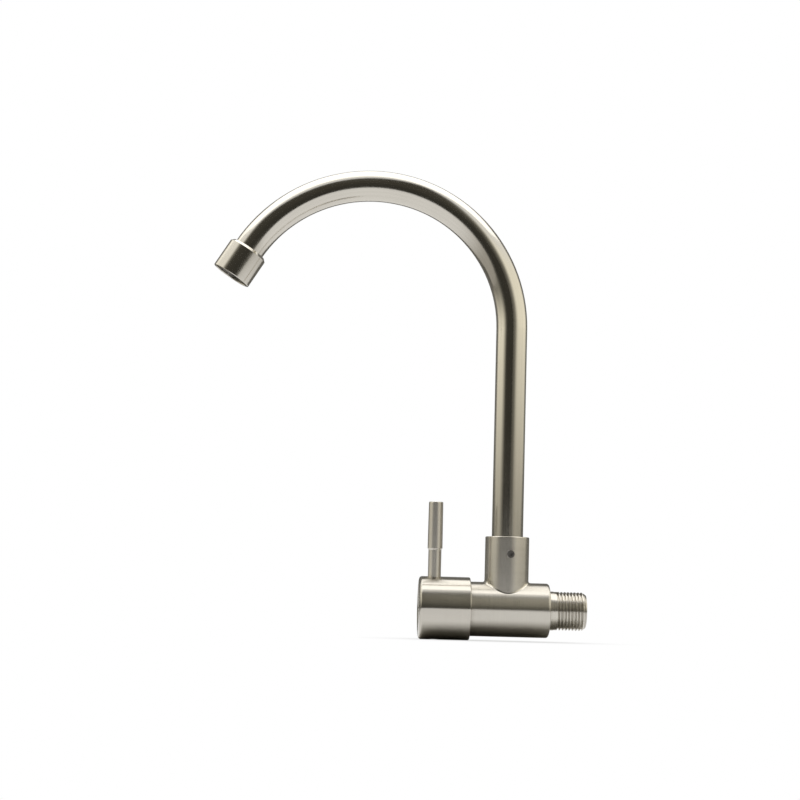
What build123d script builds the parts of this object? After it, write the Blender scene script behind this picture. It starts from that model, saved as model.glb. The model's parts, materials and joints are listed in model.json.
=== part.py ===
from build123d import *
import math
import os

# Wall-mounted kitchen tap with a turning pin-lever handle and a swivelling gooseneck spout.
# Millimetres. The origin is the centre of the barrel's wall-end face, on the barrel's axis.
# +X runs out through the inlet thread towards the wall, -X towards the handle, +Z is up.
# Places along the barrel are given as distances from the wall end towards the handle.

# Clearances
weld_gap = 0.02          # saddle of the spout socket over the barrel
braze_gap = 0.02         # tube in its brazed sockets, nipple in the barrel
slip_gap = 0.05          # radial play of turning fits
thread_gap = 0.05        # radial play of screwed pieces, drawn without their teeth
seal_gap = 0.03          # seals against their walls
face_gap = 0.05          # axial play between faces that turn on each other
running_gap = 0.3        # pieces that move past each other without a fit

# Barrel
barrel_diameter = 29.8
barrel_length = 47.75
shoulder_round = 1.5
chamber_diameter = 23.0
seat_web = 9.0           # solid length between the nipple's floor and the valve seat
waterway_diameter = 12.0

# Inlet nipple, half-inch male pipe thread
shank_diameter = 21.3    # stock half-inch pipe
shank_length = 2.5
nipple_length = 20.3
nipple_depth = 7.0       # set into the barrel
nipple_collar = 0.5      # collar in the barrel, wider than the shank all round
nipple_bore = 14.0
thread_crest_diameter = 20.955
thread_pitch = 1.814
thread_depth = 0.9
thread_root_width = 0.3
thread_flank_angle = 27.5
nipple_chamfer_length = 1.9
nipple_chamfer_depth = 1.4
groove_overshoot = 0.12  # how far the thread's cutting profile stands proud of the crest

# Spout tube
tube_diameter = 17.2
tube_wall = 1.0
bend_radius = 78.1       # from the riser to just before the crown
bend_sweep = 73.0
fall_radius = 81.0       # from there down to the nozzle
fall_sweep = 75.0
riser_length = 115.7     # straight length from the socket's rim to the bend

# Spout tail and its seals
tail_wall = 1.33         # around the tube's brazed end
tail_bore = 12.6
tail_recess = 0.4        # tail below the socket's rim
tube_seat_depth = 6.0    # tube brazed into the tail
tail_seal_depth = 1.85
tail_seal_width = 2.5
tail_seal_spacing = 4.4
tail_seal_height = 3.5   # lower seal's middle above the tail's foot

# Spout socket
spout_offset = 23.45     # wall end of the barrel to the spout's axis
socket_wall = 2.1
socket_height = 25.0     # rim above the barrel's crown
socket_floor = 1.7       # floor above the barrel's crown
socket_rim_round = 0.45
weld_fillet = 1.2        # dressed weld around the socket's foot
thrust_washer_thickness = 1.0

# Grub screw in the front of the socket
socket_screw_diameter = 4.0
socket_screw_length = 3.2
socket_screw_sink = 0.5
socket_screw_drop = 9.6  # screw's axis below the rim
socket_screw_turn = 5.0  # degrees from the front towards the wall
socket_screw_hex = 2.0
socket_screw_hex_depth = 1.6

# Nozzle
nozzle_diameter = 22.6
nozzle_length = 17.9
nozzle_chamfer = 1.4
nozzle_lip_round = 0.4
nozzle_tube_depth = 6.5
nozzle_step = 1.5
nozzle_step_bore = 14.0
aerator_wall = 1.3       # nozzle's wall around the aerator
aerator_recess = 1.8     # aerator's face behind the nozzle's lip
aerator_washer_thickness = 1.2
aerator_housing_wall = 1.2
aerator_grid_thickness = 1.2
aerator_grid_hole = 1.5
aerator_grid_spacing = 2.2
aerator_grid_rings = 3
aerator_screen_thickness = 0.8
aerator_screen_hole = 0.8
aerator_screen_spacing = 1.5
aerator_screen_rings = 4
flow_plate_thickness = 1.5
flow_plate_wall = 1.2
flow_hole = 1.2
flow_holes = 12
flow_hole_circle = 10.6

# Headwork: valve housing, discs and spindle
headwork_thread_diameter = 20.4
headwork_thread_length = 8.4
hexagon_flats = 24.0
hexagon_thickness = 4.5
neck_diameter = 13.0
neck_length = 4.5
gasket_thickness = 1.6
gasket_width = 1.6
sleeve_wall = 0.9
sleeve_lift = 1.4        # sleeve's open end above the valve seat
disc_diameter = 16.4
disc_play = 0.2          # radial room around the discs
fixed_disc_thickness = 2.8
moving_disc_thickness = 2.8
disc_port_angle = 80.0
disc_port_inner = 4.4
disc_port_outer = 12.4
disc_lug_width = 3.0
seat_seal_thickness = 2.6
seat_seal_outer = 16.0
seat_seal_inner = 12.8
quarter_turn = 90.0
ear_angle = 28.0
stop_margin = 1.5        # degrees left at each end of the ears' travel
drive_flange_thickness = 3.0
drive_tang_width = 4.0
drive_tang_length = 11.0
drive_tang_depth = 1.5
spindle_washer_thickness = 1.0
spindle_diameter = 9.0
spindle_seal_depth = 1.6
spindle_seal_width = 2.3
spindle_seal_setback = 3.0   # outer seal's middle inside the hexagon's seat
spindle_seal_spacing = 5.0
clip_thickness = 0.8
clip_width = 2.6
clip_depth = 1.1
clip_gap_angle = 70.0
spline_tip_diameter = 8.0
spline_tooth_depth = 0.4
spline_teeth = 20

# Handle hub and its grub screw
skirt_wall = 1.95
skirt_gap = 0.35
skirt_overlap = 4.15
handle_length = 27.95
handle_front_round = 1.6
handle_rear_round = 0.6
handle_front_wall = 2.6
cavity_margin = 0.6
hub_screw_diameter = 5.0
hub_screw_length = 6.0
hub_screw_hex = 2.5
hub_screw_hex_depth = 2.0

# Lever rod
lever_setback = 8.3      # lever's axis behind the handle's front face
lever_neck_diameter = 7.15
lever_neck_length = 15.8
lever_grip_diameter = 8.2
lever_grip_tip_diameter = 7.9
lever_grip_length = 26.5
lever_step_cone = 0.9     # length of the cone from the neck to the grip
lever_tip_round = 0.6
lever_shank_diameter = 6.0
lever_shank_length = 7.5
lever_seat_sink = 1.3    # flat seat of the lever below the hub's crown

# Radii and places worked out from the sizes above
barrel_radius = barrel_diameter / 2
chamber_radius = chamber_diameter / 2
shank_radius = shank_diameter / 2
nipple_collar_radius = shank_radius + nipple_collar
nipple_socket_radius = nipple_collar_radius + braze_gap
thread_crest_radius = thread_crest_diameter / 2
tube_radius = tube_diameter / 2
tail_radius = tube_radius + braze_gap + tail_wall
socket_bore_radius = tail_radius + slip_gap
socket_radius = socket_bore_radius + socket_wall
socket_rim = barrel_radius + socket_height
socket_floor_top = barrel_radius + socket_floor
tail_foot = socket_floor_top + thrust_washer_thickness + face_gap
tail_top = socket_rim - tail_recess
tube_foot = tail_top - tube_seat_depth
bend_start = socket_rim + riser_length
socket_screw_height = socket_rim - socket_screw_drop
socket_screw_tip = socket_radius - socket_screw_sink - socket_screw_length

valve_seat = nipple_depth + seat_web
chamber_end = barrel_length - gasket_thickness - headwork_thread_length
fixed_disc_start = valve_seat + seat_seal_thickness
moving_disc_start = fixed_disc_start + fixed_disc_thickness + face_gap
flange_start = moving_disc_start + moving_disc_thickness + face_gap
flange_end = flange_start + drive_flange_thickness
sleeve_floor = flange_end + 2 * face_gap + spindle_washer_thickness
sleeve_start = valve_seat + sleeve_lift
disc_radius = disc_diameter / 2
sleeve_bore_radius = disc_radius + disc_play
sleeve_radius = sleeve_bore_radius + sleeve_wall
headwork_radius = headwork_thread_diameter / 2
gasket_recess_radius = headwork_radius + gasket_width + 2 * seal_gap
hexagon_end = barrel_length + hexagon_thickness
neck_end = hexagon_end + neck_length
spindle_radius = spindle_diameter / 2
spindle_bore_radius = spindle_radius + slip_gap
clip_start = neck_end + face_gap
clip_end = clip_start + clip_thickness
hub_floor = clip_end + cavity_margin

handle_radius = barrel_radius + skirt_gap + skirt_wall
handle_rear = barrel_length - skirt_overlap
handle_front = handle_rear + handle_length
spline_bore_end = handle_front - handle_front_wall
spindle_end = spline_bore_end - running_gap
spline_tip_radius = spline_tip_diameter / 2
lever_place = handle_front - lever_setback
lever_seat = handle_radius - lever_seat_sink
hub_screw_tip = spline_tip_radius + face_gap

# Planes on which turned profiles are drawn: local x runs along the turning axis, local y is the radius
barrel_turning = Plane(origin=(0, 0, 0), x_dir=(-1, 0, 0), z_dir=(0, 1, 0))
spout_turning = Plane(origin=(-spout_offset, 0, 0), x_dir=(0, 0, 1), z_dir=(0, 1, 0))
lever_turning = Plane(origin=(-lever_place, 0, 0), x_dir=(0, 0, 1), z_dir=(0, 1, 0))
hub_screw_turning = Plane(origin=(-lever_place, 0, 0), x_dir=(0, 0, -1), z_dir=(0, 1, 0))
screw_direction = Vector(0, -1, 0).rotate(Axis.Z, socket_screw_turn)
socket_screw_turning = Plane(
    origin=(-spout_offset, 0, socket_screw_height), x_dir=screw_direction, z_dir=(0, 0, 1)
)


def turning_axis(plane):
    """Axis along a turning plane's local x."""
    return Axis(plane.origin, plane.x_dir)


def cross_plane(turning, place):
    """Plane square to a turning axis, at a place along it, facing along the axis."""
    return Plane(
        origin=turning.origin + turning.x_dir * place, x_dir=-turning.z_dir, z_dir=turning.x_dir
    )


def turned(plane, outline):
    """Solid of revolution from outline points given as (place along the axis, radius)."""
    with BuildPart() as solid:
        with BuildSketch(plane):
            with BuildLine():
                Polyline(*outline, close=True)
            make_face()
        revolve(axis=turning_axis(plane))
    return solid


def washer(plane, start, stop, inner_radius, outer_radius):
    """Plain ring between two places along an axis."""
    return turned(
        plane,
        [(start, inner_radius), (stop, inner_radius), (stop, outer_radius), (start, outer_radius)],
    )


def seal_ring(plane, middle, groove_radius, wall_radius):
    """Round-section seal between a groove's floor and the wall around it."""
    cord_radius = (wall_radius - groove_radius) / 2 - seal_gap
    with BuildPart(cross_plane(plane, middle)) as ring:
        Torus((wall_radius + groove_radius) / 2, cord_radius)
    return ring


def grub_screw(plane, tip, length, diameter, hex_flats, hex_depth):
    """Headless screw along an axis, with its hexagon socket in the end away from the tip."""
    with BuildPart() as screw:
        with BuildSketch(cross_plane(plane, tip)):
            Circle(diameter / 2)
        extrude(amount=length)
        with BuildSketch(cross_plane(plane, tip + length)):
            RegularPolygon(hex_flats / 2, 6, major_radius=False)
        extrude(amount=-hex_depth, mode=Mode.SUBTRACT)
    return screw


def slice_sketch(radius, middle, width):
    """Pie slice about the local origin, from its middle angle and its width in degrees."""
    with BuildSketch() as pie:
        with BuildLine():
            rim = CenterArc((0, 0), radius, middle - width / 2, width)
            Line((0, 0), rim @ 0)
            Line(rim @ 1, (0, 0))
        make_face()
    return pie.sketch


def spline_sketch(tip_radius):
    """Toothed outline of the spindle's drive end."""
    half_step = 180 / spline_teeth
    points = []
    for tooth in range(spline_teeth):
        tip_angle = 2 * tooth * half_step
        points.append(Vector(tip_radius, 0).rotate(Axis.Z, tip_angle))
        points.append(Vector(tip_radius - spline_tooth_depth, 0).rotate(Axis.Z, tip_angle + half_step))
    with BuildSketch() as teeth:
        with BuildLine():
            Polyline(*points, close=True)
        make_face()
    return teeth.sketch


def ring_holes(diameter, spacing, rings):
    """Holes in a middle point and rings around it, six more in each ring."""
    with BuildSketch() as holes:
        Circle(diameter / 2)
        for ring in range(1, rings + 1):
            with PolarLocations(ring * spacing, 6 * ring):
                Circle(diameter / 2)
    return holes.sketch


# Barrel: outer cylinder, nipple socket, waterway, valve chamber, headwork thread and gasket recess
with BuildPart() as barrel:
    with BuildSketch(barrel_turning):
        with BuildLine():
            Polyline(
                (0, nipple_socket_radius),
                (nipple_depth, nipple_socket_radius),
                (nipple_depth, waterway_diameter / 2),
                (valve_seat, waterway_diameter / 2),
                (valve_seat, chamber_radius),
                (chamber_end, chamber_radius),
                (chamber_end, headwork_radius),
                (barrel_length - gasket_thickness, headwork_radius),
                (barrel_length - gasket_thickness, gasket_recess_radius),
                (barrel_length, gasket_recess_radius),
                (barrel_length, barrel_radius),
                (0, barrel_radius),
                close=True,
            )
        make_face()
    revolve(axis=turning_axis(barrel_turning))
    wall_end_edges = barrel.edges().group_by(Axis.X)[-1]
    fillet(wall_end_edges.sort_by(SortBy.RADIUS)[-1], shoulder_round)
    with BuildSketch(cross_plane(spout_turning, 0)):
        Circle(waterway_diameter / 2)
    extrude(amount=barrel_diameter, mode=Mode.SUBTRACT)

# Spout socket: filleted to the barrel's surface, saddle-cut over the barrel, then bored
with BuildPart() as spout_socket:
    with BuildSketch(Plane.YZ):
        Circle(barrel_radius)
    extrude(amount=-barrel_length)
    with BuildSketch(cross_plane(spout_turning, 0)):
        Circle(socket_radius)
    extrude(amount=socket_rim)
    saddle_edges = spout_socket.edges().filter_by(GeomType.BSPLINE)
    fillet(saddle_edges, weld_fillet)
    with BuildSketch(Plane.YZ):
        Circle(barrel_radius + weld_gap)
    extrude(amount=-barrel_length, mode=Mode.SUBTRACT)
    with BuildSketch(cross_plane(spout_turning, 0)):
        Circle(waterway_diameter / 2)
    extrude(amount=socket_rim, mode=Mode.SUBTRACT)
    with BuildSketch(cross_plane(spout_turning, socket_floor_top)):
        Circle(socket_bore_radius)
    extrude(amount=socket_height, mode=Mode.SUBTRACT)
    fillet(spout_socket.edges().group_by(Axis.Z)[-1], socket_rim_round)
    with BuildSketch(cross_plane(socket_screw_turning, 0)):
        Circle(socket_screw_diameter / 2 + thread_gap)
    extrude(amount=socket_radius, mode=Mode.SUBTRACT)

# Inlet nipple: collar flush in the barrel, plain shank and a helical pipe thread cut in a longer blank,
# whose spare length is turned off last and leaves the chamfered end
groove_start = shank_length + thread_pitch
groove_length = nipple_length + thread_pitch - groove_start
blank_length = nipple_length + 3 * thread_pitch
with BuildPart() as inlet_nipple:
    with BuildSketch(barrel_turning):
        with BuildLine():
            Polyline(
                (nipple_depth, nipple_bore / 2),
                (nipple_depth, nipple_collar_radius),
                (0, nipple_collar_radius),
                (0, shank_radius),
                (-shank_length, shank_radius),
                (-shank_length, thread_crest_radius),
                (-blank_length, thread_crest_radius),
                (-blank_length, nipple_bore / 2),
                close=True,
            )
        make_face()
    revolve(axis=turning_axis(barrel_turning))
    with BuildLine() as groove_path:
        Helix(thread_pitch, groove_length, thread_crest_radius, (groove_start, 0, 0), (1, 0, 0))
    groove_point = groove_path.line @ 0
    groove_plane = Plane(
        origin=groove_point,
        x_dir=Vector(0, groove_point.Y, groove_point.Z).normalized(),
        z_dir=groove_path.line % 0,
    )
    flank_slope = math.tan(math.radians(thread_flank_angle))
    root_half = thread_root_width / 2
    mouth_half = root_half + (thread_depth + groove_overshoot) * flank_slope
    with BuildSketch(groove_plane):
        with BuildLine():
            Polyline(
                (-thread_depth, -root_half),
                (-thread_depth, root_half),
                (groove_overshoot, mouth_half),
                (groove_overshoot, -mouth_half),
                close=True,
            )
        make_face()
    sweep(path=groove_path.line, is_frenet=True, mode=Mode.SUBTRACT)
    with BuildSketch(barrel_turning):
        with BuildLine():
            Polyline(
                (nipple_chamfer_length - nipple_length, thread_crest_radius),
                (-nipple_length, thread_crest_radius - nipple_chamfer_depth),
                (-nipple_length, nipple_bore / 2 - thread_pitch),
                (-blank_length - thread_pitch, nipple_bore / 2 - thread_pitch),
                (-blank_length - thread_pitch, thread_crest_radius + thread_pitch),
                (nipple_chamfer_length - nipple_length, thread_crest_radius + thread_pitch),
                close=True,
            )
        make_face()
    revolve(axis=turning_axis(barrel_turning), mode=Mode.SUBTRACT)

# Grub screw in the front of the socket, its tip in the tail's groove
socket_grub_screw = grub_screw(
    socket_screw_turning,
    socket_screw_tip,
    socket_screw_length,
    socket_screw_diameter,
    socket_screw_hex,
    socket_screw_hex_depth,
)

# Plastic washer under the spout's tail
spout_thrust_washer = washer(
    spout_turning,
    socket_floor_top,
    socket_floor_top + thrust_washer_thickness,
    tail_bore / 2,
    socket_bore_radius - slip_gap,
)

# Spout tail: brazed seat for the tube, groove for the grub screw, two seal grooves
tail_seal_floor = tail_radius - tail_seal_depth
tail_groove_floor = socket_screw_tip - running_gap
tail_groove_half = socket_screw_diameter / 2 + running_gap
seal_places = [tail_foot + tail_seal_height, tail_foot + tail_seal_height + tail_seal_spacing]
tail_grooves = [(place, tail_seal_width / 2, tail_seal_floor) for place in seal_places]
tail_grooves.append((socket_screw_height, tail_groove_half, tail_groove_floor))
with BuildPart() as spout_tail:
    with BuildSketch(spout_turning):
        with BuildLine():
            Polyline(
                (tail_foot, tail_bore / 2),
                (tube_foot, tail_bore / 2),
                (tube_foot, tube_radius + braze_gap),
                (tail_top, tube_radius + braze_gap),
                (tail_top, tail_radius),
                (tail_foot, tail_radius),
                close=True,
            )
        make_face()
    revolve(axis=turning_axis(spout_turning))
    for place, half_width, floor_radius in tail_grooves:
        with BuildSketch(cross_plane(spout_turning, place)):
            Circle(tail_radius + running_gap)
            Circle(floor_radius, mode=Mode.SUBTRACT)
        extrude(amount=half_width, both=True, mode=Mode.SUBTRACT)

spout_o_ring_lower = seal_ring(spout_turning, seal_places[0], tail_seal_floor, socket_bore_radius)
spout_o_ring_upper = seal_ring(spout_turning, seal_places[1], tail_seal_floor, socket_bore_radius)

# Spout tube: straight riser, a bend that opens towards the nozzle, and a straight end inside the nozzle
with BuildPart() as spout_tube:
    with BuildLine(Plane.XZ) as spout_path:
        riser = Line((-spout_offset, tube_foot), (-spout_offset, bend_start))
        crown = JernArc(riser @ 1, riser % 1, bend_radius, bend_sweep)
        fall = JernArc(crown @ 1, crown % 1, fall_radius, fall_sweep)
        Line(fall @ 1, (fall @ 1) + (fall % 1) * nozzle_tube_depth)
    with BuildSketch(cross_plane(spout_turning, tube_foot)):
        Circle(tube_radius)
        Circle(tube_radius - tube_wall, mode=Mode.SUBTRACT)
    sweep(path=spout_path.line)

# Nozzle sleeve, drawn along the tube's end direction
nozzle_turning = Plane(origin=fall @ 1, x_dir=fall % 1, z_dir=(0, 1, 0))
nozzle_radius = nozzle_diameter / 2
aerator_bore_radius = nozzle_radius - aerator_wall
aerator_bore_start = nozzle_tube_depth + nozzle_step
with BuildPart() as nozzle_sleeve:
    with BuildSketch(nozzle_turning):
        with BuildLine():
            Polyline(
                (0, tube_radius + braze_gap),
                (nozzle_tube_depth, tube_radius + braze_gap),
                (nozzle_tube_depth, nozzle_step_bore / 2),
                (aerator_bore_start, nozzle_step_bore / 2),
                (aerator_bore_start, aerator_bore_radius),
                (nozzle_length, aerator_bore_radius),
                (nozzle_length, nozzle_radius),
                (nozzle_chamfer, nozzle_radius),
                (0, nozzle_radius - nozzle_chamfer),
                close=True,
            )
        make_face()
    revolve(axis=turning_axis(nozzle_turning))
    fillet(nozzle_sleeve.edges().group_by(turning_axis(nozzle_turning))[-1], nozzle_lip_round)

# Aerator: sealing washer, flow plate on a skirt, screen, and a housing with a grid in its face
aerator_radius = aerator_bore_radius - thread_gap
housing_start = aerator_bore_start + aerator_washer_thickness
housing_end = nozzle_length - aerator_recess
grid_start = housing_end - aerator_grid_thickness
screen_start = grid_start - aerator_screen_thickness
housing_bore_radius = aerator_radius - aerator_housing_wall
insert_radius = housing_bore_radius - thread_gap

aerator_washer = washer(
    nozzle_turning, aerator_bore_start, housing_start, nozzle_step_bore / 2, aerator_radius
)

with BuildPart() as aerator_housing:
    with BuildSketch(cross_plane(nozzle_turning, housing_start)):
        Circle(aerator_radius)
    extrude(amount=housing_end - housing_start)
    with BuildSketch(cross_plane(nozzle_turning, housing_start)):
        Circle(housing_bore_radius)
    extrude(amount=grid_start - housing_start, mode=Mode.SUBTRACT)
    with BuildSketch(cross_plane(nozzle_turning, grid_start)):
        add(ring_holes(aerator_grid_hole, aerator_grid_spacing, aerator_grid_rings))
    extrude(amount=aerator_grid_thickness, mode=Mode.SUBTRACT)

with BuildPart() as aerator_screen:
    with BuildSketch(cross_plane(nozzle_turning, screen_start)):
        Circle(insert_radius)
        add(
            ring_holes(aerator_screen_hole, aerator_screen_spacing, aerator_screen_rings),
            mode=Mode.SUBTRACT,
        )
    extrude(amount=aerator_screen_thickness)

with BuildPart() as aerator_flow_disc:
    with BuildSketch(cross_plane(nozzle_turning, housing_start)):
        Circle(insert_radius)
    extrude(amount=screen_start - housing_start)
    with BuildSketch(cross_plane(nozzle_turning, housing_start + flow_plate_thickness)):
        Circle(insert_radius - flow_plate_wall)
    extrude(amount=screen_start - housing_start - flow_plate_thickness, mode=Mode.SUBTRACT)
    with BuildSketch(cross_plane(nozzle_turning, housing_start)):
        with PolarLocations(flow_hole_circle / 2, flow_holes):
            Circle(flow_hole / 2)
    extrude(amount=flow_plate_thickness, mode=Mode.SUBTRACT)

# Angles about the barrel's axis, as seen from the handle: up is 90 degrees, opening turns them upwards
up_angle = 90
down_angle = 270
side_angles = (0, 180)

# Headwork housing: windowed sleeve, thread, hexagon and neck, bored for the spindle
window_angle = quarter_turn + ear_angle + 2 * stop_margin
window_start = fixed_disc_start + fixed_disc_thickness
window_length = flange_end + face_gap - window_start
with BuildPart() as cartridge_housing:
    with BuildSketch(barrel_turning):
        with BuildLine():
            Polyline(
                (sleeve_start, sleeve_bore_radius),
                (sleeve_floor, sleeve_bore_radius),
                (sleeve_floor, spindle_bore_radius),
                (neck_end, spindle_bore_radius),
                (neck_end, neck_diameter / 2),
                (barrel_length, neck_diameter / 2),
                (barrel_length, headwork_radius - thread_gap),
                (chamber_end, headwork_radius - thread_gap),
                (chamber_end, sleeve_radius),
                (sleeve_start, sleeve_radius),
                close=True,
            )
        make_face()
    revolve(axis=turning_axis(barrel_turning))
    with BuildSketch(cross_plane(barrel_turning, barrel_length)):
        RegularPolygon(hexagon_flats / 2, 6, major_radius=False)
        Circle(spindle_bore_radius, mode=Mode.SUBTRACT)
    extrude(amount=hexagon_thickness)
    with BuildSketch(cross_plane(barrel_turning, window_start)):
        for middle in (up_angle, down_angle):
            add(slice_sketch(chamber_radius, middle, window_angle))
    extrude(amount=window_length, mode=Mode.SUBTRACT)
    with BuildSketch(cross_plane(barrel_turning, sleeve_start)):
        Rectangle(chamber_diameter, disc_lug_width + 2 * slip_gap)
    extrude(amount=window_start - sleeve_start, mode=Mode.SUBTRACT)

cartridge_gasket = washer(
    barrel_turning,
    barrel_length - gasket_thickness,
    barrel_length,
    headwork_radius + seal_gap,
    gasket_recess_radius - seal_gap,
)

seat_seal = washer(
    barrel_turning, valve_seat, fixed_disc_start, seat_seal_inner / 2, seat_seal_outer / 2
)

# Fixed ceramic disc: two ports, above and below, and two lugs in the sleeve's slots
with BuildPart() as fixed_disc:
    with BuildSketch(cross_plane(barrel_turning, fixed_disc_start)):
        for middle in (up_angle, down_angle):
            add(slice_sketch(disc_port_outer / 2, middle, disc_port_angle))
        Circle(disc_port_inner / 2, mode=Mode.SUBTRACT)
    ports = extrude(amount=fixed_disc_thickness, mode=Mode.PRIVATE)
    with BuildSketch(cross_plane(barrel_turning, fixed_disc_start)):
        Circle(disc_radius)
        Rectangle(2 * (sleeve_radius - slip_gap), disc_lug_width)
    extrude(amount=fixed_disc_thickness)
    add(ports, mode=Mode.SUBTRACT)

# Moving ceramic disc: two side notches, which a quarter turn brings over the ports, and a drive slot
with BuildPart() as moving_disc:
    with BuildSketch(cross_plane(barrel_turning, moving_disc_start)):
        Circle(disc_radius)
        for middle in side_angles:
            add(slice_sketch(disc_diameter, middle, disc_port_angle), mode=Mode.SUBTRACT)
        Circle(disc_port_inner / 2)
    extrude(amount=moving_disc_thickness)
    with BuildSketch(cross_plane(barrel_turning, moving_disc_start + moving_disc_thickness)):
        Rectangle(drive_tang_width + 2 * slip_gap, drive_tang_length + 2 * slip_gap)
    extrude(amount=-drive_tang_depth - face_gap, mode=Mode.SUBTRACT)

# Spindle: drive flange with stop ears and tang, sealed stem, clip groove and splined end
spindle_seal_floor = spindle_radius - spindle_seal_depth
clip_floor = spindle_radius - clip_depth
outer_seal_place = barrel_length - spindle_seal_setback
spindle_seal_places = [outer_seal_place - spindle_seal_spacing, outer_seal_place]
ear_rest_angle = up_angle - quarter_turn / 2
with BuildPart() as spindle:
    with BuildSketch(barrel_turning):
        with BuildLine():
            Polyline(
                (flange_start, 0),
                (flange_start, disc_radius),
                (flange_end, disc_radius),
                (flange_end, spindle_radius),
                (clip_start, spindle_radius),
                (clip_start, clip_floor),
                (clip_end + face_gap, clip_floor),
                (clip_end + face_gap, 0),
                close=True,
            )
        make_face()
    revolve(axis=turning_axis(barrel_turning))
    for place in spindle_seal_places:
        with BuildSketch(cross_plane(barrel_turning, place)):
            Circle(spindle_diameter)
            Circle(spindle_seal_floor, mode=Mode.SUBTRACT)
        extrude(amount=spindle_seal_width / 2, both=True, mode=Mode.SUBTRACT)
    with BuildSketch(cross_plane(barrel_turning, flange_start)):
        for middle in (ear_rest_angle, ear_rest_angle + 180):
            add(slice_sketch(sleeve_radius - disc_play, middle, ear_angle))
    extrude(amount=drive_flange_thickness)
    with BuildSketch(cross_plane(barrel_turning, flange_start)):
        Rectangle(drive_tang_width, drive_tang_length)
    extrude(amount=-drive_tang_depth)
    with BuildSketch(cross_plane(barrel_turning, clip_end + face_gap)):
        add(spline_sketch(spline_tip_radius))
    extrude(amount=spindle_end - clip_end - face_gap)

spindle_o_ring_inner = seal_ring(
    barrel_turning, spindle_seal_places[0], spindle_seal_floor, spindle_bore_radius
)
spindle_o_ring_outer = seal_ring(
    barrel_turning, spindle_seal_places[1], spindle_seal_floor, spindle_bore_radius
)

spindle_thrust_washer = washer(
    barrel_turning, flange_end + face_gap, sleeve_floor - face_gap, spindle_bore_radius, disc_radius
)

with BuildPart() as spindle_clip:
    with BuildSketch(cross_plane(barrel_turning, clip_start)):
        Circle(clip_floor + clip_width)
        Circle(clip_floor + braze_gap, mode=Mode.SUBTRACT)
        add(slice_sketch(spindle_diameter, down_angle, clip_gap_angle), mode=Mode.SUBTRACT)
    extrude(amount=clip_thickness)

# Handle hub: hollow skirt over the barrel's end, splined bore, lever seat and grub screw hole
with BuildPart() as handle_hub:
    with BuildSketch(barrel_turning):
        with BuildLine():
            Polyline(
                (handle_rear, barrel_radius + skirt_gap),
                (hub_floor, barrel_radius + skirt_gap),
                (hub_floor, 0),
                (handle_front, 0),
                (handle_front, handle_radius),
                (handle_rear, handle_radius),
                close=True,
            )
        make_face()
    revolve(axis=turning_axis(barrel_turning))
    fillet(handle_hub.edges().group_by(Axis.X)[0], handle_front_round)
    fillet(handle_hub.edges().group_by(Axis.X)[-1].sort_by(SortBy.RADIUS)[-1], handle_rear_round)
    with BuildSketch(cross_plane(barrel_turning, hub_floor)):
        add(spline_sketch(spline_tip_radius + slip_gap))
    extrude(amount=spline_bore_end - hub_floor, mode=Mode.SUBTRACT)
    with BuildSketch(cross_plane(lever_turning, lever_seat)):
        Circle(lever_neck_diameter / 2 + seal_gap)
    extrude(amount=handle_radius, mode=Mode.SUBTRACT)
    with BuildSketch(cross_plane(lever_turning, lever_seat)):
        Circle(lever_shank_diameter / 2 + thread_gap)
    extrude(amount=-lever_shank_length - running_gap, mode=Mode.SUBTRACT)
    with BuildSketch(cross_plane(hub_screw_turning, 0)):
        Circle(hub_screw_diameter / 2 + thread_gap)
    extrude(amount=handle_radius, mode=Mode.SUBTRACT)

handle_grub_screw = grub_screw(
    hub_screw_turning,
    hub_screw_tip,
    hub_screw_length,
    hub_screw_diameter,
    hub_screw_hex,
    hub_screw_hex_depth,
)

# Lever rod: threaded shank, slim neck, conical step and a slightly tapered grip
lever_step = lever_seat + lever_neck_length
lever_tip = lever_step + lever_grip_length
with BuildPart() as lever_rod:
    with BuildSketch(lever_turning):
        with BuildLine():
            Polyline(
                (lever_seat - lever_shank_length, 0),
                (lever_seat - lever_shank_length, lever_shank_diameter / 2),
                (lever_seat, lever_shank_diameter / 2),
                (lever_seat, lever_neck_diameter / 2),
                (lever_step, lever_neck_diameter / 2),
                (lever_step + lever_step_cone, lever_grip_diameter / 2),
                (lever_tip, lever_grip_tip_diameter / 2),
                (lever_tip, 0),
                close=True,
            )
        make_face()
    revolve(axis=turning_axis(lever_turning))
    fillet(lever_rod.edges().group_by(Axis.Z)[-1], lever_tip_round)

# One file for each piece
pieces = {
    "barrel": barrel,
    "spout_socket": spout_socket,
    "inlet_nipple": inlet_nipple,
    "socket_grub_screw": socket_grub_screw,
    "spout_thrust_washer": spout_thrust_washer,
    "cartridge_housing": cartridge_housing,
    "cartridge_gasket": cartridge_gasket,
    "seat_seal": seat_seal,
    "fixed_disc": fixed_disc,
    "handle_hub": handle_hub,
    "lever_rod": lever_rod,
    "handle_grub_screw": handle_grub_screw,
    "spindle": spindle,
    "moving_disc": moving_disc,
    "spindle_o_ring_inner": spindle_o_ring_inner,
    "spindle_o_ring_outer": spindle_o_ring_outer,
    "spindle_thrust_washer": spindle_thrust_washer,
    "spindle_clip": spindle_clip,
    "spout_tail": spout_tail,
    "spout_tube": spout_tube,
    "spout_o_ring_lower": spout_o_ring_lower,
    "spout_o_ring_upper": spout_o_ring_upper,
    "nozzle_sleeve": nozzle_sleeve,
    "aerator_washer": aerator_washer,
    "aerator_screen": aerator_screen,
    "aerator_flow_disc": aerator_flow_disc,
    "aerator_housing": aerator_housing,
}
os.makedirs("parts", exist_ok=True)
for name, piece in pieces.items():
    piece.part.label = name
    export_step(piece.part, f"parts/{name}.step")
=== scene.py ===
import json
import math
from collections import namedtuple

import bpy
from mathutils import Matrix, Vector


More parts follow.
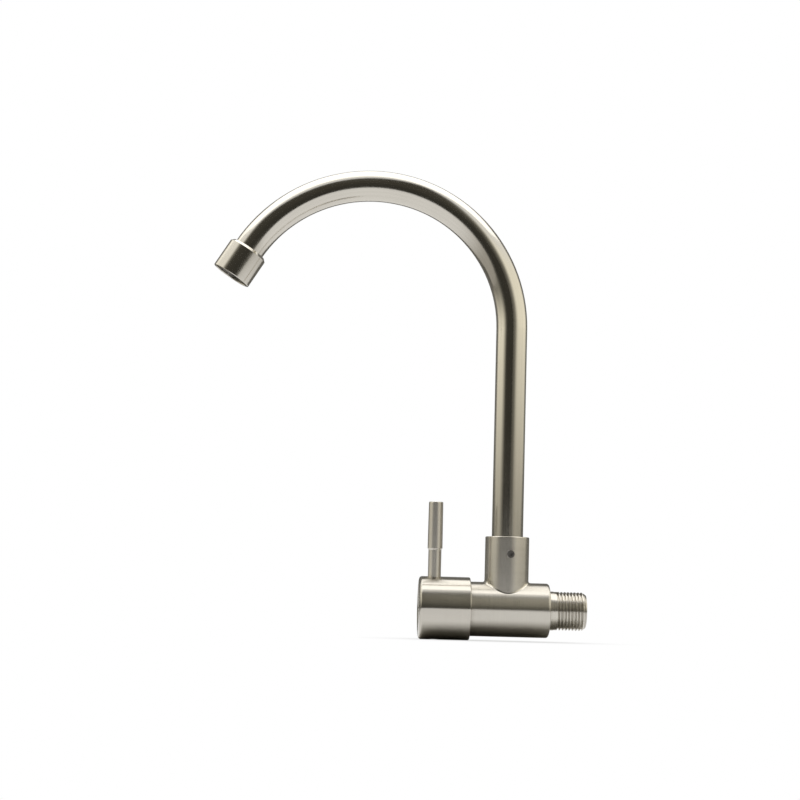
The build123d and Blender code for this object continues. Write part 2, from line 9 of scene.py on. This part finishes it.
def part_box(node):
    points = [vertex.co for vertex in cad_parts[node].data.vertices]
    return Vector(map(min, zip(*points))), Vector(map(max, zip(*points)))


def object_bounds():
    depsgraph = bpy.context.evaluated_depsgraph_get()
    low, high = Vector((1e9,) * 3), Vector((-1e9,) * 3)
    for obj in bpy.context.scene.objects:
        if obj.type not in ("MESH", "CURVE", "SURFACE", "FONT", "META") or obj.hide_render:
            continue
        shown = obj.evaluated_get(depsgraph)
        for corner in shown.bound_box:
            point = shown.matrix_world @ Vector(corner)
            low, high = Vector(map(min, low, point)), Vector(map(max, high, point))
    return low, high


# Wall-mounted kitchen tap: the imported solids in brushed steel, on a white studio floor.
# Metres, in the frame of the solids: the barrel lies along X, the spout stands along Z and the photo
# looks along +Y.

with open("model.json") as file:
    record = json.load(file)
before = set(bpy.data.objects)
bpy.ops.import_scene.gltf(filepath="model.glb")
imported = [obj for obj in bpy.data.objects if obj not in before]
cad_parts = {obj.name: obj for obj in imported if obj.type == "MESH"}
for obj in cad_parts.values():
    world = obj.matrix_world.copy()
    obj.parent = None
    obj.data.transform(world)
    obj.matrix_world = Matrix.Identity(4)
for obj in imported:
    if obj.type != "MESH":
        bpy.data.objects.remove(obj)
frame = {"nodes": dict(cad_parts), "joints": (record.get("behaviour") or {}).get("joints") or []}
cad_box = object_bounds()
nodes = frame["nodes"]

MM = 0.001
X_AXIS = (1.0, 0.0, 0.0)
Z_AXIS = (0.0, 0.0, 1.0)
WHITE = (1.0, 1.0, 1.0, 1.0)

# Places read from the frame
spout_joint = next(j for j in frame["joints"] if j["name"] == "spout_swivel")
spout_x = spout_joint["pos_m"][0]
floor_height = cad_box[0][2]
foot_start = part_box("handle_hub")[0].x
foot_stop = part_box("inlet_nipple")[1].x
tube_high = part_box("spout_tube")[1]
nozzle_middle = tuple(sum(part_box("nozzle_sleeve"), Vector()) / 2)
lever_middle = tuple(sum(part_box("lever_rod"), Vector()) / 2)

# The spout's route, as in the part's source
tube_radius = 8.6 * MM
crown_radius = 78.1 * MM
crown_sweep = math.radians(73.0)
fall_radius = 81.0 * MM
fall_sweep = math.radians(75.0)
radius_step = crown_radius - fall_radius
bend_start = tube_high.z - tube_radius - fall_radius - radius_step * math.sin(crown_sweep)
crown_centre = Vector((spout_x - crown_radius, 0, bend_start))
fall_centre = crown_centre + radius_step * Vector((math.cos(crown_sweep), 0, math.sin(crown_sweep)))
crown_length = crown_radius * crown_sweep
nozzle_angle = crown_sweep + fall_sweep
nozzle_axis = (-math.sin(nozzle_angle), 0.0, math.cos(nozzle_angle))

# Camera, from the photograph
PHOTO_SIDE = 800
FOCAL_PIXELS = 2000
SENSOR = 36.0
CAMERA_AIM = Vector((spout_x - 61.3 * MM, 0.0, 114.05 * MM))
CAMERA_DISTANCE = 1108.7 * MM
CAMERA_CLIP = 0.01
CAMERA_YAW = math.radians(2.2)      # to the left of the square-on view
CAMERA_PITCH = math.radians(5.8)    # looking up
CAMERA_ROLL = math.radians(1.55)    # picture turned clockwise

# Steel, in linear colour. Lines are noise scales (along the axis, across it) per metre.
Lines = namedtuple("Lines", "fine broad")
Finish = namedtuple("Finish", "smooth dull anisotropy streak")
STEEL_COLOUR = (0.60, 0.57, 0.51, 1.0)
# Dark colour for grime and for painted shade in hollows.
SOIL_AND_SHADE_COLOUR = (0.08, 0.07, 0.055, 1.0)
TURNED = Lines(fine=(6000.0, 40.0), broad=(1500.0, 20.0))
DRAWN = Lines(fine=(12.0, 2200.0), broad=(5.0, 600.0))
BARREL_FINISH = Finish(smooth=0.28, dull=0.38, anisotropy=1.0, streak=0.03)
HANDLE_FINISH = Finish(smooth=0.23, dull=0.26, anisotropy=1.0, streak=0.03)
THREAD_FINISH = Finish(smooth=0.24, dull=0.34, anisotropy=0.9, streak=0.04)
SOCKET_FINISH = Finish(smooth=0.21, dull=0.25, anisotropy=0.5, streak=0.03)
LEVER_FINISH = Finish(smooth=0.30, dull=0.32, anisotropy=0.75, streak=0.02)
NOZZLE_FINISH = Finish(smooth=0.13, dull=0.18, anisotropy=0.4, streak=0.02)
TUBE_FINISH = Finish(smooth=0.13, dull=0.18, anisotropy=0.3, streak=0.05)
QUARTER_TURN = 0.25         # turns the blur across the tangent
RADIAL_SHARE = 0.4          # of the blur's direction, so that end faces get a radial one
NOISE_RANGE = (0.3, 0.7)    # where most of the noise lies
ROUGH_RANGE = (0.35, 0.65)
LINE_TONES = (0.7, 1.3)     # darkest and brightest share of the steel's colour
STAIN_SCALE = 38.0
STAIN_TONES = (0.46, 0.54)
STAIN_ROUGHNESS = (-0.015, 0.015)
LINE_BUMP = {"Strength": 0.06, "Distance": 4e-6}

# Grime and painted shade in hollows, and wear
THREAD_START = (2.0 * MM, 3.0 * MM)
GROOVE_RADII = (10.2 * MM, 9.5 * MM)
# Darkening of the thread's grooves: grime, with painted shade in the hollows.
GROOVE_GRIME_AND_SHADE = 0.15
# Painted shade in the crease at the socket's foot.
SADDLE_RADII = (15.1 * MM, 14.95 * MM)
SADDLE_SHADE = 0.15
WEAR_HEIGHTS = (120.0 * MM, 45.0 * MM)
RISER_WEAR = 0.07

# Moulded, cast and ground pieces
GRAIN_SCALE = 900.0
CLOUD_SCALE = 120.0
GRAIN_TONES = (-0.2, 0.2)
CLOUD_TONES = (0.3, 0.7)
GRAIN_SHADES = (0.8, 1.2)
GRAIN_ROUGHNESS = 0.06
GRAIN_BUMP = {"Strength": 0.4, "Distance": 8e-6}

# Studio. A pair of colours runs from low to high elevation on a card.
OBJECT_MIDDLE = Vector((-0.085, 0.0, 0.1))
DARK = ((0.045, 0.043, 0.036, 1.0), (0.065, 0.06, 0.048, 1.0))
CREAM = ((0.155, 0.148, 0.13, 1.0), (1.2, 1.15, 0.98, 1.0))
GREY = ((0.14, 0.135, 0.12, 1.0), (0.2, 0.195, 0.18, 1.0))
CARD_COLUMNS = 24
CARD_ROWS = 20
FLOOR_SIZE = 12.0
PAPER_GRAIN = 60.0
PAPER = ((0.89, 0.89, 0.89, 1.0), (0.91, 0.91, 0.91, 1.0))
# Painted shadow: the paper darkens towards these colours with the occlusion near the tap.
PAPER_SHADE = (0.2, 0.19, 0.17, 1.0)
CONTACT_REACH = 0.04
CONTACT_SHADE = (0.6, 0.6, 0.59, 1.0)
FOOT_FADE = (0.010, 0.026)      # from the barrel's axis, where reflected floor turns white
FOOT_END_FACTOR = 12.0          # quickens that fade past the ends of the barrel
# Painted reflection: grey to the sides and dark ahead, in the floor as metal sees it.
ASIDE_FADE = (0.22, 0.46)       # to both sides, where reflected floor turns grey
ASIDE_COLOUR = (0.48, 0.46, 0.42, 1.0)
AHEAD_FADE = (-0.58, -0.78)     # along Y, where reflected floor turns dark
LAMP_PLACE = (-0.1, 0.3, 1.5)
LAMP_SIZE = (3.0, 1.8)
LAMP_POWER = 18.0
LAMP_COLOUR = (1.0, 0.98, 0.94)


class Graph:
    """Adds shader nodes to one node tree and links them."""

    def __init__(self, tree):
        self.tree = tree
        tree.nodes.clear()

    def add(self, kind, inputs=None, **settings):
        node = self.tree.nodes.new(kind)
        for name, value in settings.items():
            setattr(node, name, value)
        for name, value in (inputs or {}).items():
            self.put(node.inputs[name], value)
        return node

    def put(self, socket, value):
        """Link a socket, or set a constant on it."""
        if isinstance(value, bpy.types.NodeSocket):
            self.tree.links.new(value, socket)
        else:
            socket.default_value = value

    def math(self, operation, a, b=0.0, c=0.0):
        return self.add("ShaderNodeMath", {0: a, 1: b, 2: c}, operation=operation).outputs[0]

    def length(self, a, b):
        """Length of the diagonal over two sides."""
        squares = [self.math("POWER", side, 2.0) for side in (a, b)]
        return self.math("SQRT", self.math("ADD", *squares))

    def vector(self, operation, a, b=(0.0, 0.0, 0.0)):
        node = self.add("ShaderNodeVectorMath", {0: a, 1: b}, operation=operation)
        return node.outputs["Value" if operation in ("DOT_PRODUCT", "LENGTH") else "Vector"]

    def scaled(self, vector, factor):
        node = self.add("ShaderNodeVectorMath", {0: vector, "Scale": factor}, operation="SCALE")
        return node.outputs["Vector"]

    def place(self):
        """The shaded point in the frame of the solids."""
        return self.add("ShaderNodeTexCoord").outputs["Object"]

    def parts(self, vector):
        """X, Y and Z of a vector."""
        apart = self.add("ShaderNodeSeparateXYZ", {0: vector})
        return tuple(apart.outputs[name] for name in "XYZ")

    def noise(self, vector, scale, detail, roughness):
        node = self.add(
            "ShaderNodeTexNoise",
            {"Vector": vector, "Scale": scale, "Detail": detail, "Roughness": roughness},
        )
        return node.outputs["Fac"]

    def span(self, value, low, high, to_low=0.0, to_high=1.0, smooth=False):
        node = self.add(
            "ShaderNodeMapRange",
            {"Value": value, "From Min": low, "From Max": high, "To Min": to_low, "To Max": to_high},
            interpolation_type="SMOOTHSTEP" if smooth else "LINEAR",
        )
        return node.outputs["Result"]

    def choose(self, factor, a, b):
        """Mix of two numbers."""
        node = self.add("ShaderNodeMix", {"Factor": factor, "A": a, "B": b}, data_type="FLOAT")
        return node.outputs["Result"]

    def blend(self, factor, a, b):
        """Mix of two colours."""
        node = self.add("ShaderNodeMix", data_type="RGBA")
        self.put(node.inputs["Factor"], factor)
        colours = [s for s in node.inputs if s.type == "RGBA"]
        self.put(colours[0], a)
        self.put(colours[1], b)
        return next(s for s in node.outputs if s.type == "RGBA")


def material(name):
    """A new material with its graph, its shader and its output."""
    made = bpy.data.materials.new(name)
    made.use_nodes = True
    graph = Graph(made.node_tree)
    shader = graph.add("ShaderNodeBsdfPrincipled")
    output = graph.add("ShaderNodeOutputMaterial")
    graph.put(output.inputs["Surface"], shader.outputs[0])
    return made, graph, shader, output


def shade(colour, factor):
    return tuple(channel * factor for channel in colour[:3]) + (1.0,)


def stretched(graph, place, axis, along, across):
    """Texture coordinates with one scale along an axis and another across it."""
    depth = graph.vector("DOT_PRODUCT", place, axis)
    stretch = graph.math("MULTIPLY", depth, along - across)
    return graph.vector("ADD", graph.scaled(place, across), graph.scaled(axis, stretch))


def around(axis, centre=(0.0, 0.0, 0.0)):
    """Route of a turned piece: its coordinates, their axis and the direction of the blur.

    The coordinates run on outwards over the end faces, which get rings, and so does the direction.
    """
    def route(graph, place):
        offset = graph.vector("SUBTRACT", place, centre)
        depth = graph.vector("DOT_PRODUCT", offset, axis)
        outward = graph.vector("SUBTRACT", offset, graph.scaled(axis, depth))
        rings = graph.scaled(axis, graph.vector("LENGTH", outward))
        coordinates = graph.vector("ADD", place, rings)
        radial = graph.scaled(graph.vector("NORMALIZE", outward), RADIAL_SHARE)
        return coordinates, axis, graph.vector("ADD", radial, axis)
    return route


def along_spout(graph, place):
    """Route of the spout's tube: coordinates unrolled along its bend, their axis and the bend's direction."""
    x, y, z = graph.parts(place)

    def polar(centre, radius):
        east = graph.math("SUBTRACT", x, centre.x)
        north = graph.math("SUBTRACT", z, centre.z)
        return (
            graph.math("SUBTRACT", graph.length(east, north), radius),
            graph.math("ARCTAN2", north, east),
        )

    crown_offset, crown_turn = polar(crown_centre, crown_radius)
    fall_offset, fall_turn = polar(fall_centre, fall_radius)
    on_fall = graph.math("GREATER_THAN", crown_turn, crown_sweep)
    on_bend = graph.math("MAXIMUM", graph.math("GREATER_THAN", z, bend_start), on_fall)
    crown_path = graph.math("MULTIPLY", crown_turn, crown_radius)
    fall_angle = graph.math("SUBTRACT", fall_turn, crown_sweep)
    fall_path = graph.math("MULTIPLY_ADD", fall_angle, fall_radius, crown_length)
    bend_offset = graph.choose(on_fall, crown_offset, fall_offset)
    bend_path = graph.choose(on_fall, crown_path, fall_path)
    bend_turn = graph.choose(on_fall, crown_turn, fall_turn)
    offset = graph.choose(on_bend, graph.math("SUBTRACT", x, spout_x), bend_offset)
    path = graph.choose(on_bend, graph.math("SUBTRACT", z, bend_start), bend_path)
    turn = graph.choose(on_bend, 0.0, bend_turn)
    unrolled = graph.add("ShaderNodeCombineXYZ", {"X": offset, "Y": y, "Z": path})
    direction = graph.add(
        "ShaderNodeCombineXYZ",
        {"X": graph.math("MULTIPLY", graph.math("SINE", turn), -1.0), "Z": graph.math("COSINE", turn)},
    )
    return unrolled.outputs[0], Z_AXIS, direction.outputs[0]


def brushed_steel(name, route, scales, finish, turn=0.0, bright=1.0, soil_and_shade=None, wear=None):
    """Brushed stainless steel, from its smoothest lines to its dullest ones.

    The finish gives the roughness of these, the blur along the lines and their contrast. bright scales the
    steel's colour, painting light or shade on a piece; soil lays grime and painted shade over part of it and
    wear adds to the roughness.
    """
    made, graph, shader, _ = material(name)
    place = graph.place()
    coordinates, axis, direction = route(graph, place)
    lines = graph.noise(stretched(graph, coordinates, axis, *scales.fine), 1.0, 4.0, 0.7)
    bands = graph.noise(stretched(graph, coordinates, axis, *scales.broad), 1.0, 2.0, 0.5)
    stains = graph.noise(place, STAIN_SCALE, 4.0, 0.55)

    contrast = (-finish.streak, finish.streak)
    tone = graph.math(
        "ADD", graph.span(lines, *NOISE_RANGE, *contrast), graph.span(bands, *NOISE_RANGE, *contrast)
    )
    tone = graph.math("ADD", tone, graph.span(stains, *NOISE_RANGE, *STAIN_TONES))
    darkest, brightest = (shade(STEEL_COLOUR, share * bright) for share in LINE_TONES)
    colour = graph.blend(tone, darkest, brightest)
    if soil_and_shade is not None:
        colour = graph.blend(soil_and_shade(graph, place), colour, SOIL_AND_SHADE_COLOUR)
    graph.put(shader.inputs["Base Color"], colour)
    shader.inputs["Metallic"].default_value = 1.0

    rough = graph.math(
        "ADD",
        graph.span(lines, *ROUGH_RANGE, finish.smooth, finish.dull),
        graph.span(stains, *NOISE_RANGE, *STAIN_ROUGHNESS),
    )
    if wear is not None:
        rough = graph.math("ADD", rough, wear(graph, place))
    graph.put(shader.inputs["Roughness"], rough)
    shader.inputs["Anisotropic"].default_value = finish.anisotropy
    shader.inputs["Anisotropic Rotation"].default_value = turn
    tangent = graph.add(
        "ShaderNodeVectorTransform", {"Vector": direction},
        vector_type="VECTOR", convert_from="OBJECT", convert_to="WORLD",
    )
    graph.put(shader.inputs["Tangent"], tangent.outputs["Vector"])
    bump = graph.add("ShaderNodeBump", {"Height": graph.math("ADD", lines, bands), **LINE_BUMP})
    graph.put(shader.inputs["Normal"], bump.outputs["Normal"])
    return made


def barrel_reach(graph, place):
    """Distance from the barrel's axis."""
    return graph.vector("LENGTH", graph.vector("MULTIPLY", place, (0.0, 1.0, 1.0)))


def thread_grime_and_shade(graph, place):
    """Darker steel in the thread's grooves: grime, with painted shade in the hollows."""
    in_thread = graph.span(graph.vector("DOT_PRODUCT", place, X_AXIS), *THREAD_START)
    in_groove = graph.span(barrel_reach(graph, place), *GROOVE_RADII)
    return graph.math("MULTIPLY", graph.math("MULTIPLY", in_thread, in_groove), GROOVE_GRIME_AND_SHADE)


def saddle_painted_shade(graph, place):
    """Painted shade: a dark line in the crease where the socket's foot meets the barrel."""
    return graph.span(barrel_reach(graph, place), *SADDLE_RADII, 0.0, SADDLE_SHADE)


def riser_wear(graph, place):
    """Duller brushing on the lower riser."""
    return graph.span(graph.vector("DOT_PRODUCT", place, Z_AXIS), *WEAR_HEIGHTS, 0.0, RISER_WEAR)


def plain_material(name, colour, roughness, metallic=0.0):
    """A moulded, cast or ground surface with fine grain."""
    made, graph, shader, _ = material(name)
    place = graph.place()
    specks = graph.noise(place, GRAIN_SCALE, 3.0, 0.6)
    cloud = graph.noise(place, CLOUD_SCALE, 3.0, 0.5)
    tone = graph.math(
        "ADD", graph.span(specks, *NOISE_RANGE, *GRAIN_TONES), graph.span(cloud, *NOISE_RANGE, *CLOUD_TONES)
    )
    darkest, brightest = (shade(colour, share) for share in GRAIN_SHADES)
    graph.put(shader.inputs["Base Color"], graph.blend(tone, darkest, brightest))
    shader.inputs["Metallic"].default_value = metallic
    rough = graph.span(specks, *NOISE_RANGE, roughness - GRAIN_ROUGHNESS, roughness + GRAIN_ROUGHNESS)
    graph.put(shader.inputs["Roughness"], rough)
    bump = graph.add("ShaderNodeBump", {"Height": specks, **GRAIN_BUMP})
    graph.put(shader.inputs["Normal"], bump.outputs["Normal"])
    return made


def dress(made, *names):
    """Give nodes a material."""
    for name in names:
        mesh = nodes[name].data
        mesh.materials.clear()
        mesh.materials.append(made)


# Finishes of the pieces
dress(brushed_steel("barrel_steel", around(X_AXIS), TURNED, BARREL_FINISH), "barrel")
# Painted shade: the handle's steel is a darker copy of the steel's colour, at 0.92.
dress(brushed_steel("handle_steel", around(X_AXIS), TURNED, HANDLE_FINISH, bright=0.92), "handle_hub")
dress(brushed_steel("thread_steel", around(X_AXIS), TURNED, THREAD_FINISH, soil_and_shade=thread_grime_and_shade), "inlet_nipple")
# Painted light: the socket's steel is a brighter copy of the steel's colour, at 1.18.
dress(
    brushed_steel(
        "socket_steel", around(Z_AXIS, (spout_x, 0.0, 0.0)), TURNED, SOCKET_FINISH,
        bright=1.18, soil_and_shade=saddle_painted_shade,
    ),
    "spout_socket",
)
dress(
    brushed_steel("lever_steel", around(Z_AXIS, lever_middle), TURNED, LEVER_FINISH),
    "lever_rod", "spout_tail",
)
dress(
    brushed_steel("nozzle_steel", around(nozzle_axis, nozzle_middle), TURNED, NOZZLE_FINISH),
    "nozzle_sleeve",
)
dress(
    brushed_steel("tube_steel", along_spout, DRAWN, TUBE_FINISH, turn=QUARTER_TURN, wear=riser_wear),
    "spout_tube",
)
dress(
    plain_material("screw_steel", (0.2, 0.19, 0.18), 0.35, metallic=1.0),
    "socket_grub_screw", "handle_grub_screw", "spindle_clip",
)
dress(
    plain_material("brass", (0.72, 0.48, 0.2), 0.3, metallic=1.0),
    "cartridge_housing", "spindle",
)
dress(
    plain_material("ceramic", (0.82, 0.8, 0.76), 0.2),
    "fixed_disc", "moving_disc",
)
dress(
    plain_material("rubber", (0.02, 0.02, 0.02), 0.6),
    "cartridge_gasket", "seat_seal", "spindle_o_ring_inner", "spindle_o_ring_outer",
    "spout_o_ring_lower", "spout_o_ring_upper", "aerator_washer",
)
dress(
    plain_material("bearing_plastic", (0.7, 0.69, 0.65), 0.4),
    "spout_thrust_washer", "spindle_thrust_washer",
)
dress(
    plain_material("aerator_plastic", (0.05, 0.05, 0.048), 0.4),
    "aerator_screen", "aerator_flow_disc", "aerator_housing",
)


def stage_mesh(name, verts, faces, paint):
    """A mesh of the studio, not of the tap."""
    mesh = bpy.data.meshes.new(name)
    mesh.from_pydata(verts, [], faces)
    mesh.materials.append(paint)
    made = bpy.data.objects.new(name, mesh)
    bpy.context.scene.collection.objects.link(made)
    return made


def floor_paint():
    """White paper with the tap's contact shadow, painted from the occlusion into its colour and glow.

    What metal reflects of it is shaded at the tap's foot and white around it, with a painted reflection of
    grey to the sides and dark ahead.
    """
    made, graph, shader, output = material("floor_paint")
    place = graph.place()
    x, y, _ = graph.parts(place)
    openness = graph.add("ShaderNodeAmbientOcclusion", {"Distance": CONTACT_REACH}).outputs["AO"]
    paper = graph.blend(graph.noise(place, PAPER_GRAIN, 3.0, 0.5), *PAPER)
    # Painted shadow: the paper's colour darkens with the occlusion under and beside the tap.
    graph.put(shader.inputs["Base Color"], graph.blend(openness, PAPER_SHADE, paper))
    shader.inputs["Roughness"].default_value = 1.0
    shader.inputs["Specular IOR Level"].default_value = 0.0

    rays = graph.add("ShaderNodeLightPath").outputs
    seen = graph.math("MAXIMUM", rays["Is Camera Ray"], rays["Is Transmission Ray"])
    mirrored = rays["Is Glossy Ray"]
    beside = graph.math("ABSOLUTE", graph.math("SUBTRACT", x, (foot_start + foot_stop) / 2))
    beyond = graph.math("MAXIMUM", graph.math("SUBTRACT", beside, (foot_stop - foot_start) / 2), 0.0)
    reach = graph.length(graph.math("MULTIPLY", beyond, FOOT_END_FACTOR), y)
    far = graph.span(reach, *FOOT_FADE, smooth=True)
    aside = graph.span(beside, *ASIDE_FADE, smooth=True)
    ahead = graph.span(y, *AHEAD_FADE, smooth=True)
    # Painted reflection: grey to the sides and dark ahead, for glossy rays only.
    sheet = graph.blend(graph.math("MULTIPLY", mirrored, aside), WHITE, ASIDE_COLOUR)
    sheet = graph.blend(graph.math("MULTIPLY", mirrored, ahead), sheet, DARK[0])
    # For the camera, the white glow carries a painted contact shadow from the occlusion.
    sheet = graph.blend(seen, sheet, graph.blend(openness, CONTACT_SHADE, WHITE))
    glow = graph.add("ShaderNodeEmission", {"Color": sheet, "Strength": 1.0})
    bleach = graph.math("MAXIMUM", graph.math("MULTIPLY", mirrored, far), seen)
    mixed = graph.add("ShaderNodeMixShader", {0: bleach, 1: shader.outputs[0], 2: glow.outputs[0]})
    graph.put(output.inputs["Surface"], mixed.outputs[0])
    return made


def make_floor():
    half = FLOOR_SIZE / 2
    corners = ((-half, -half), (half, -half), (half, half), (-half, half))
    stage_mesh("floor", [(x, y, floor_height) for x, y in corners], [(0, 1, 2, 3)], floor_paint())


def make_world():
    world = bpy.data.worlds.new("studio")
    bpy.context.scene.world = world
    world.use_nodes = True
    graph = Graph(world.node_tree)
    sky = graph.add("ShaderNodeBackground", {"Color": WHITE, "Strength": 1.0})
    output = graph.add("ShaderNodeOutputWorld")
    graph.put(output.inputs["Surface"], sky.outputs[0])


def card_paint(name, radius, sides, side_fades, top, top_fade, colours, rise, spread, tilt):
    """Glow of a reflection card, clear past its faded edges."""
    made = bpy.data.materials.new(name)
    made.use_nodes = True
    graph = Graph(made.node_tree)
    start, stop = (math.radians(angle) for angle in sides)
    low, high = (math.radians(angle) for angle in rise)
    narrow, wide = (math.radians(angle) for angle in spread)
    middle = (start + stop) / 2
    place = graph.vector("SUBTRACT", graph.place(), tuple(OBJECT_MIDDLE))
    ahead = graph.vector("DOT_PRODUCT", place, (math.sin(middle), -math.cos(middle), 0.0))
    aside = graph.vector("DOT_PRODUCT", place, (math.cos(middle), math.sin(middle), 0.0))
    height = graph.vector("DOT_PRODUCT", place, Z_AXIS)
    swing = graph.math("ARCTAN2", aside, ahead)
    level = graph.math("ARCSINE", graph.math("DIVIDE", height, radius))
    crest = graph.math("MULTIPLY_ADD", swing, -tilt, level)
    half = graph.math("ADD", graph.span(level, low, high, narrow, wide), (stop - start) / 2)
    cover = graph.span(crest, math.radians(top), math.radians(top - top_fade), smooth=True)
    for direction, fade in zip(("ADD", "SUBTRACT"), side_fades):
        inside = graph.math(direction, half, swing)
        cover = graph.math("MULTIPLY", cover, graph.span(inside, 0.0, math.radians(fade), smooth=True))
    colour = graph.blend(graph.span(level, low, high), *colours)
    glow = graph.add("ShaderNodeEmission", {"Color": colour, "Strength": 1.0})
    clear = graph.add("ShaderNodeBsdfTransparent")
    mixed = graph.add("ShaderNodeMixShader", {0: cover, 1: clear.outputs[0], 2: glow.outputs[0]})
    output = graph.add("ShaderNodeOutputMaterial")
    graph.put(output.inputs["Surface"], mixed.outputs[0])
    return made


def card(name, radius, sides, side_fades, top, top_fade, colours, rise, spread=(0.0, 0.0), tilt=0.0):
    """Reflection card: part of a sphere around the tap, standing on the floor, in degrees.

    Azimuth 0 faces the photo's camera and 90 is to the right. The sides and the top fade out. Between the two
    elevations of rise its colour runs from the first of colours to the second, and its half width grows by the
    two amounts of spread. tilt raises the top towards the right, in degrees per degree.
    """
    start, stop = sides
    margin = max(*spread, 0.0)
    bottom = math.degrees(math.asin((floor_height - OBJECT_MIDDLE.z) / radius))
    peak = top + tilt * (stop - start + margin) / 2
    width = stop - start + 2 * margin
    verts = []
    for j in range(CARD_ROWS + 1):
        elevation = math.radians(bottom + (peak - bottom) * j / CARD_ROWS)
        for i in range(CARD_COLUMNS + 1):
            azimuth = math.radians(start - margin + width * i / CARD_COLUMNS)
            level = math.cos(elevation)
            direction = Vector((math.sin(azimuth) * level, -math.cos(azimuth) * level, math.sin(elevation)))
            verts.append(tuple(OBJECT_MIDDLE + direction * radius))
    row = CARD_COLUMNS + 1
    faces = [
        (a, a + 1, a + row + 1, a + row)
        for j in range(CARD_ROWS)
        for a in range(j * row, (j + 1) * row - 1)
    ]
    paint = card_paint(
        name + "_paint", radius, sides, side_fades, top, top_fade, colours, rise, spread, tilt
    )
    made = stage_mesh(name, verts, faces, paint)
    made.visible_camera = False
    made.visible_shadow = False


def make_cards():
    card(
        "front_card", 1.0, sides=(-84, 64), side_fades=(18, 18), top=61, top_fade=11,
        colours=DARK, rise=(0, 35), spread=(0, -20), tilt=0.2,
    )
    card(
        "left_card", 0.9, sides=(-140, -36), side_fades=(10, 40), top=50, top_fade=25,
        colours=CREAM, rise=(-7.5, 12),
    )
    card(
        "right_card", 0.9, sides=(14, 130), side_fades=(40, 10), top=50, top_fade=25,
        colours=CREAM, rise=(-7.5, 12),
    )
    card(
        "back_card", 0.55, sides=(112, 238), side_fades=(14, 14), top=52, top_fade=10,
        colours=GREY, rise=(-5, 2), spread=(14, 0),
    )


def make_lamp():
    data = bpy.data.lights.new("top_softbox", "AREA")
    data.shape = "RECTANGLE"
    data.size, data.size_y = LAMP_SIZE
    data.energy = LAMP_POWER
    data.color = LAMP_COLOUR
    made = bpy.data.objects.new("top_softbox", data)
    made.location = LAMP_PLACE
    made.rotation_euler = (OBJECT_MIDDLE - Vector(LAMP_PLACE)).to_track_quat("-Z", "Y").to_euler()
    bpy.context.scene.collection.objects.link(made)


def make_camera():
    """Camera at the photograph's angle."""
    back = Vector((
        -math.sin(CAMERA_YAW) * math.cos(CAMERA_PITCH),
        -math.cos(CAMERA_YAW) * math.cos(CAMERA_PITCH),
        -math.sin(CAMERA_PITCH),
    ))
    level_right = (-back).cross(Vector(Z_AXIS)).normalized()
    level_up = level_right.cross(-back)
    right = math.cos(CAMERA_ROLL) * level_right + math.sin(CAMERA_ROLL) * level_up
    up = math.cos(CAMERA_ROLL) * level_up - math.sin(CAMERA_ROLL) * level_right
    data = bpy.data.cameras.new("camera")
    data.sensor_fit = "HORIZONTAL"
    data.sensor_width = SENSOR
    data.lens = SENSOR * FOCAL_PIXELS / PHOTO_SIDE
    data.clip_start = CAMERA_CLIP
    made = bpy.data.objects.new("camera", data)
    turned = Matrix((right, up, back)).transposed().to_4x4()
    made.matrix_world = Matrix.Translation(CAMERA_AIM + back * CAMERA_DISTANCE) @ turned
    bpy.context.scene.collection.objects.link(made)
    bpy.context.scene.camera = made


make_floor()
make_world()
make_cards()
make_lamp()
make_camera()
bpy.context.scene.view_settings.view_transform = "Standard"
